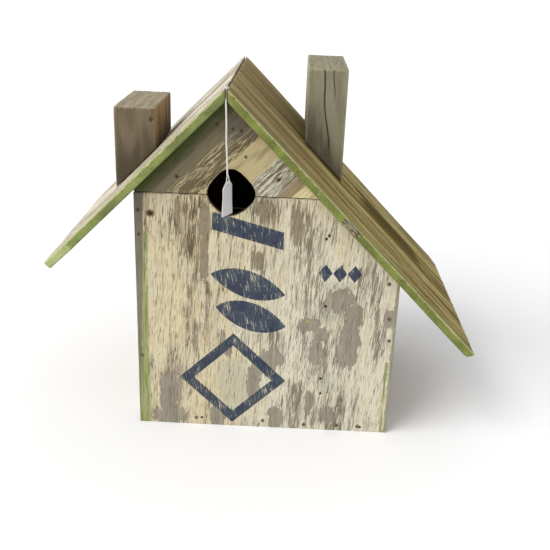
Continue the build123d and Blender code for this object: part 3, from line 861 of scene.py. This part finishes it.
def roof_right_paint():
    """The long slope: brown wood, with cream streaks and a dark patch, partly staining and partly painted
    shadow of the right chimney, that run down the slope.
    """
    s = Shader("roof_right_paint")
    y = s.split(s.place)[1]
    sloped = s.turned(-45)
    along, across, _ = s.split(sloped)
    wood, grain = bare_wood(s, sloped, "x", (160, 142, 88), (104, 88, 36), seed=11)
    ragged = s.noise((70, 9, 9), 3, sloped, detail=4, roughness=0.6) - 0.5
    wavy = y - ROOF_FRONT / MM + ragged * 26.0
    bands = s.bands(wavy, 300.0, (0, (146, 142, 84)), (14, (136, 126, 66)), (30, (172, 158, 98)),
                    (50, (164, 148, 84)), (58, (112, 96, 36)), (66, (142, 122, 56)), (104, (126, 108, 42)),
                    (112, (158, 142, 78)), (118, (196, 182, 120)), (128, (190, 176, 114)),
                    (134, (142, 124, 56)), (205, (138, 120, 54)), (222, (198, 186, 122)),
                    (256, (190, 178, 120)), (268, (140, 128, 74)), (300, (124, 116, 74)))
    s.shade = s.mix(0.72, wood, bands)
    streaks = s.noise((150, 3.4, 3.4), 6, sloped, detail=5, roughness=0.7)
    s.lay((206, 190, 136), streaks, 0.54, 0.58, 0.7)
    s.lay((78, 62, 26), streaks, 0.46, 0.41, 0.85)
    broad = s.noise((190, 10, 10), 26, sloped, detail=4, roughness=0.62)
    s.lay((200, 180, 124), broad, 0.52, 0.58, 0.6)
    s.lay((88, 72, 30), broad, 0.47, 0.41, 0.6)
    dashes = s.noise((16, 1.1, 1.1), 16, sloped, roughness=0.6)
    s.lay((92, 76, 42), dashes, 0.6, 0.66, 0.6)
    down = along - SLOPE_TOP
    # Partly a real stain and partly the right chimney's shadow, painted down the slope below it
    stain_and_shade = s.least(40.0 - abs(wavy - 181.0), (66.0 - abs(down - 282.0)) * 0.7)
    s.lay((78, 64, 10), stain_and_shade + (streaks - 0.5) * 80.0, 6.0, 9.0, 0.9)
    upper = s.step(down, 175, 125) * s.step(wavy, 50, 64) * s.step(down, 90, 120)
    s.lay((116, 100, 58), upper * s.step(wavy, 112, 98, 0.0, 0.3))
    s.lay((146, 128, 98), down, 210, 60, 0.5)
    grooves = s.greatest(*[s.crack(across, along, groove) for groove in RIGHT_GROOVES])
    s.lay((70, 58, 30), grooves * 0.75)
    roof_edges(s, "roof_right_board", (122, 130, 68), (1, 12, 12), 7.0)
    damage = s.spot((RIDGE_X_MM + TORN_AT, ROOF_FRONT / MM, 266), (15, 7, 14))
    rough = s.noise((9, 1.3, 1.3), 19, sloped, detail=4, roughness=0.7)
    torn = s.blend((62, 56, 40), (162, 154, 124), rough, 0.42, 0.58)
    s.lay(torn, damage + ragged * 1.6, 0.15, 0.3)
    return s.finish(0.85, streaks * 0.5 + grain * 0.6, relief=0.5, specular=0.08)


CHIMNEY_ROUGHNESS = 0.82


def chimney_wood(node, front, side, top, cracks, seed):
    """A rough sawn block: upright grain, end grain on top, pale arrises that are a painted highlight,
    darkening above the roof that is partly staining and partly painted contact shade, and front, side and
    top shades that are partly painted light.
    Returns the shader and the height."""
    s = Shader(node + "_wood")
    x, y, z = s.split(s.place)
    lowest, highest = low(node) / MM, high(node) / MM
    wide = s.noise((15, 22, 70), seed, detail=4, roughness=0.5, distortion=0.4)
    fine = s.noise((1.3, 1.3, 46), seed + 3, detail=4, roughness=0.6)
    tone = wide * 0.82 + fine * 0.18

    to_side = s.least(x - lowest.x, highest.x - x)
    to_face = s.least(y - lowest.y, highest.y - y)
    to_top = highest.z - z
    on_side = s.step(to_side - to_face, 0.8, -0.8)
    # Partly painted light: the front, the side and the top each get their own shade of the one wood, as they
    # look lit
    s.shade = s.mix(on_side, toned(s, front, tone, 0.36, 0.64, 0.92, 1.07),
                    toned(s, side, tone, 0.36, 0.64, 0.92, 1.07))
    rings = s.noise((4.5, 70, 70), seed + 5, detail=4, roughness=0.6, distortion=1.2)
    end = toned(s, top, rings, 0.38, 0.62, 0.88, 1.05)
    on_top = s.step(to_top - s.least(to_side, to_face), 0.8, -0.8)
    s.lay(end, on_top)
    # Darker near the roof: partly staining and partly painted contact shade where the block meets the roof
    above = under_roof(s) * -sqrt(2)
    stain_and_shade = above + (wide - 0.5) * 70.0
    s.lay((66, 58, 42), stain_and_shade, 60, 5, 0.7)
    speckle = s.noise((2.4, 2.4, 6), seed + 8, detail=4)
    s.lay(scaled(front, 0.55), speckle, 0.6, 0.72, 0.25)
    highlight_ragging = (speckle - 0.5) * 5.0
    # Painted highlight: paler arrises
    arris = s.least(to_side + to_face, to_top + s.least(to_side, to_face))
    pale = tuple(min(c * 1.35, 214) for c in top)
    s.lay(pale, arris + highlight_ragging, 4.0, 0.6, 0.24)
    if cracks:
        split = s.greatest(*[s.crack(x, z, crack) for crack in cracks]) * (1.0 - on_top)
        s.lay((34, 30, 22), split * 0.85)
    return s, tone


def left_chimney_wood():
    """The left block: brown, with a knot high on its front beside the right arris."""
    # Front, side and top shades, partly painted light
    s, height = chimney_wood("chimney_left", (112, 100, 80), (158, 130, 90), (152, 141, 118), (), 2.0)
    ragged = s.noise((4, 4, 4), 4, detail=4) - 0.5
    knot = s.spot((RIDGE_X_MM - 94.8, low("chimney_left").y / MM, 354.7), (3.2, 8, 4.4)) + ragged
    s.lay((70, 54, 38), knot, 0.05, 0.5, 0.85)
    return s.finish(CHIMNEY_ROUGHNESS, height, relief=0.6)


def right_chimney_wood():
    """The right block: greenish grey, split down its front."""
    # Front, side and top shades, partly painted light
    s, height = chimney_wood("chimney_right", (134, 129, 106), (164, 160, 132), (141, 136, 110),
                             CHIMNEY_SPLITS, 12.0)
    return s.finish(CHIMNEY_ROUGHNESS, height, relief=0.6)


def plain_board():
    """Sawn wood that was never painted: the floor, cleats and battens."""
    s = Shader("bare_board")
    s.shade, height = bare_wood(s, s.place, "z", (172, 140, 98), (128, 98, 62), seed=20)
    return s.finish(0.8, height, relief=0.3)


def turned_wood():
    """Dark oiled wood of the knob and the turn button."""
    s = Shader("turned_wood")
    s.shade, height = bare_wood(s, s.place, "x", (128, 88, 52), (84, 54, 30), seed=31)
    return s.finish(0.42, height, relief=0.12, specular=0.4)


def rusty_steel(name, rust_share, metal):
    """Steel with rust in blotches."""
    s = Shader(name)
    blotches = s.noise((3.5, 3.5, 3.5), 2, detail=5, roughness=0.65)
    rust = s.step(blotches, 0.62 - rust_share * 0.3, 0.7 - rust_share * 0.3)
    brown = s.mix(s.noise((1.2, 1.2, 1.2)), (92, 52, 28), (54, 34, 24))
    s.shade = s.mix(rust, metal, brown)
    s.feed(s.surface.inputs["Metallic"], s.step(rust, 0.0, 1.0, 0.85, 0.0))
    return s.finish(s.step(rust, 0.0, 1.0, 0.42, 0.85), blotches, relief=0.15, specular=0.4)


def cotton():
    """Off-white cotton string."""
    s = Shader("cotton_string")
    fibres = s.noise((0.25, 0.25, 1.6), 2)
    s.shade = s.blend((196, 194, 186), (238, 236, 230), fibres, 0.35, 0.65)
    s.surface.inputs["Sheen Weight"].default_value = 0.2
    return s.finish(0.9, fibres, relief=0.12)


def card():
    """Plain white card, a little grubby."""
    s = Shader("tag_card")
    fibres = s.noise((0.6, 0.6, 0.9), 5, detail=4)
    grub = s.noise((9, 9, 12), 3)
    s.shade = s.blend((222, 220, 222), (198, 196, 196), grub, 0.45, 0.75, 0.5)
    return s.finish(0.75, fibres, relief=0.05)


# ---- Wooden pieces ----

SLOPE_LEFT = Matrix.Rotation(radians(-45), 4, "Y")
SLOPE_RIGHT = Matrix.Rotation(radians(45), 4, "Y")
TORN_EDGE = (SLOPE_TOP + TORN_AT * sqrt(2), ROOF_FRONT / MM, high("roof_right_board").z / MM)
SPLIT_TOP = high("chimney_right").z / MM
CHIMNEY_SPLITS = (
    Crack("x", RIDGE_X_MM + 114, -0.11, 1.2, 13, SPLIT_TOP - 108, SPLIT_TOP + 20, 0.9, 1.7),
    Crack("x", RIDGE_X_MM + 117, -0.05, 0.8, 7, SPLIT_TOP - 42, SPLIT_TOP + 20, 0.6, 1.2),
)
FRONT_CRACKS = (Crack("x", RIDGE_X_MM - 20.5, 0.0, 0.3, 11, 40, 104, 0.6, 0.7),)

WALLS = wall_paint()
weathered("front_lower_board", front_paint(), cell=(1.1, 1.3, 1.7), cracks=FRONT_CRACKS,
          reshape=hand_cut_hole, pits=[(front_point(u, z), 1.5, 1.8) for u, z in OLD_NAIL_HOLES], seed=1)
weathered("front_gable_board", gable_paint(), turn=SLOPE_LEFT, cell=(1.6, 1.3, 1.0),
          grain="x", reshape=hand_cut_hole, seed=2)
weathered("roof_left_board", roof_left_paint(), turn=SLOPE_LEFT, cell=(2.2, 1.3, 1.6),
          grain="x", ridges=0.15, sound_end=(RIDGE_X_MM + RIDGE_Z / MM) * SQUARE, reshape=swollen_mitre,
          seed=3)
weathered("roof_right_board", roof_right_paint(), turn=SLOPE_RIGHT,
          cell=(3.2, 0.95, 1.5), grain="x", ridges=0.3, cracks=RIGHT_GROOVES,
          gouges=[(TORN_EDGE, (18, 8, 30), 3)], sound_end=SLOPE_TOP, reshape=swollen_mitre, seed=4)
weathered("chimney_left", left_chimney_wood(), cell=(1.1, 1.3, 1.5), rounds=7, ridges=0.3,
          wear=1.8, seed=5)
weathered("chimney_right", right_chimney_wood(), cell=(0.8, 1.7, 1.7), rounds=5,
          ridges=0.25, cracks=CHIMNEY_SPLITS, seed=6)
for number, name in enumerate(("left_side_wall", "right_side_wall", "back_bottom_board", "back_left_board",
                               "back_right_board", "back_upper_board", "back_gable_board")):
    weathered(name, WALLS, cell=(1.8, 1.8, 2.6), wear=0.7, seed=20 + number)
weathered("clean_out_door", WALLS, body="door", cell=(1.6, 1.6, 2.2), wear=0.5, seed=40)


# ---- The string, its knot and loop, and the tag ----


def tube(bm, line, radius, closed=False):
    """Adds a round tube along a line of points to a bmesh."""
    sides, count = 10, len(line)
    angles = [2 * pi * k / sides for k in range(sides)]
    side = Vector((0.31, 0.95, 0.07))
    rings = []
    for number, point in enumerate(line):
        ahead = line[(number + 1) % count] if closed or number + 1 < count else point
        behind = line[number - 1] if closed or number else point
        forward = (ahead - behind).normalized()
        side = (side - forward * side.dot(forward)).normalized()
        up = forward.cross(side)
        spokes = [side * cos(a) + up * sin(a) for a in angles]
        rings.append([bm.verts.new(point + radius * spoke) for spoke in spokes])
    for first, second in zip(rings, rings[1:] + rings[:1] if closed else rings[1:]):
        shift = 0
        if second is rings[0]:
            shift = min(range(sides), key=lambda k: (second[k].co - first[0].co).length)
        for k in range(sides):
            far, near = second[(k + 1 + shift) % sides], second[(k + shift) % sides]
            bm.faces.new((first[k], first[(k + 1) % sides], far, near))
    if not closed:
        bm.faces.new(reversed(rings[0]))
        bm.faces.new(rings[-1])


def twisted(bm, line, strand, offset):
    """Adds three strands of this radius that twist round a line at this offset."""
    strands, turn = 3, 5.5 * MM
    travelled = [0.0]
    for before, here in zip(line, line[1:]):
        travelled.append(travelled[-1] + (here - before).length)
    for number in range(strands):
        places = []
        for k, point in enumerate(line):
            ahead, behind = line[min(k + 1, len(line) - 1)], line[max(k - 1, 0)]
            forward = (ahead - behind).normalized()
            side = Vector((0, 1, 0.01)).cross(forward).normalized()
            up = forward.cross(side)
            angle = 2 * pi * (travelled[k] / turn + number / strands)
            places.append(point + offset * (side * cos(angle) + up * sin(angle)))
        tube(bm, places, strand)


def cotton_piece(name, bm, body, replaces):
    bmesh.ops.recalc_face_normals(bm, faces=bm.faces)
    mesh = bpy.data.meshes.new(name)
    bm.to_mesh(mesh)
    bm.free()
    return finish_piece(new_object(name, mesh), body, COTTON, [replaces])


def make_string():
    """Three cotton strands, twisted, from the ridge down to the tag's loop."""
    bm = bmesh.new()
    twisted(bm, string_line, 0.52 * MM, 0.46 * MM)
    return cotton_piece("twisted_string", bm, "tag", "tag_string")


def make_ridge_knot():
    """The string's fixed end: it lies back in the mitre gap, and an overhand knot sits on the ridge."""
    bm = bmesh.new()
    top = RIDGE_Z + 0.6 * MM
    foot = string_line[0]
    stub = [foot, foot + Vector((0, 0.0006, 0.003)), foot + Vector((0, 0.005, 0.006)),
            foot + Vector((0, 0.0055, 0.011)), Vector((RIDGE_X, STRING_Y + 0.0025, top))]
    twisted(bm, line_through(stub, 12), 0.4 * MM, 0.36 * MM)
    knot = []
    for step in range(48):
        a = 2 * pi * step / 48
        knot.append(Vector((RIDGE_X + 0.95 * MM * (sin(a) + 1.5 * sin(2 * a)),
                            STRING_Y + (1.6 + 0.62 * (cos(a) - 1.5 * cos(2 * a))) * MM,
                            top - 0.55 * MM * sin(3 * a))))
    tube(bm, knot, 0.55 * MM, closed=True)
    return cotton_piece("overhand_knot", bm, "box", "ridge_knot")


TAG_TURN = radians(66)
TAG_ACROSS = Vector((cos(TAG_TURN), sin(TAG_TURN), 0))
TAG_FACING = TAG_ACROSS.cross(Vector((0, 0, 1)))


def make_loop():
    """The string's end: a pear-shaped loop through the tag's hole."""
    lowest, highest = low("tag_loop").z + 0.5 * MM, high("tag_loop").z
    middle = (low("tag_loop") + high("tag_loop")) / 2
    line = []
    for step in range(56):
        a = 2 * pi * step / 56
        height = (1 + cos(a)) / 2
        wide = 1.7 * MM * sin(a) * (0.45 + 0.75 * (1 - height))
        place = Vector((middle.x, middle.y, lowest + (highest - lowest) * height))
        line.append(place + TAG_FACING * wide)
    bm = bmesh.new()
    tube(bm, line, 0.5 * MM, closed=True)
    return cotton_piece("string_loop", bm, "tag", "tag_loop")


def make_tag():
    """The card, a little curled, with soft corners and a hole."""
    turn = Matrix.Translation((low("hang_tag") + high("hang_tag")) / 2) @ Matrix.Rotation(TAG_TURN, 4, "Z")
    mesh = even_mesh("hang_tag", turn, (0.35, 0.2, 0.35))
    smoothed(mesh, 1)
    points = vectors(mesh.vertices, "co")
    across, up = points[:, 0] / 10.5, points[:, 2] / 19
    points[:, 1] += 0.55 * (across**2 - 0.4) + 0.5 * np.sin(1.9 * up + 0.6) * across * (up < 2)
    move_vertices(mesh, points)
    mesh.transform(Matrix.Scale(MM, 4))
    mesh.transform(turn)
    return finish_piece(new_object("curled_tag", mesh), "tag", CARD, ["hang_tag"])


COTTON = cotton()
CARD = card()
string, loop, tag, knot = make_string(), make_loop(), make_tag(), make_ridge_knot()


# ---- Lights and floor ----


def add_studio():
    """A white floor, an even white surround and one large soft lamp high up to the front left."""
    scene = bpy.context.scene
    scene.view_settings.view_transform = "Standard"
    world = bpy.data.worlds.new("Surround")
    world.use_nodes = True
    surround = world.node_tree.nodes["Background"].inputs
    surround["Color"].default_value = (1.0, 1.0, 1.0, 1)
    surround["Strength"].default_value = 0.76
    scene.world = world
    key = bpy.data.lights.new("Key", "SUN")
    key.energy = 2.8
    key.color = (1.0, 0.995, 0.985)
    key.angle = radians(52)
    lamp = new_object("Key", key)
    lamp.location = (-1.5, -0.95, 1.4)
    lamp.rotation_euler = (Vector((0, 0, 0.2)) - lamp.location).to_track_quat("-Z", "Y").to_euler()

    mesh = bpy.data.meshes.new("Floor")
    size = 60.0
    mesh.from_pydata([(-size, -size, 0), (size, -size, 0), (size, size, 0), (-size, size, 0)], [],
                     [(0, 1, 2, 3)])
    floor = new_object("Floor", mesh)
    material = bpy.data.materials.new("Floor")
    material.use_nodes = True
    inputs = material.node_tree.nodes["Principled BSDF"].inputs
    inputs["Base Color"].default_value = (0.86, 0.86, 0.87, 1)
    inputs["Roughness"].default_value = 0.9
    inputs["Specular IOR Level"].default_value = 0.1
    mesh.materials.append(material)


add_studio()

MATERIAL_OF = {"bare_board": plain_board(), "turned_wood": turned_wood(),
               "rusty_steel": rusty_steel("rusty_steel", 0.9, (70, 62, 56)),
               "hinge_steel": rusty_steel("hinge_steel", 0.35, (138, 134, 128))}
for part in frame["record"]["subparts"]:
    if part["material_slot"] in MATERIAL_OF:
        node = nodes[part["node"]]
        node.data.materials.clear()
        node.data.materials.append(MATERIAL_OF[part["material_slot"]])
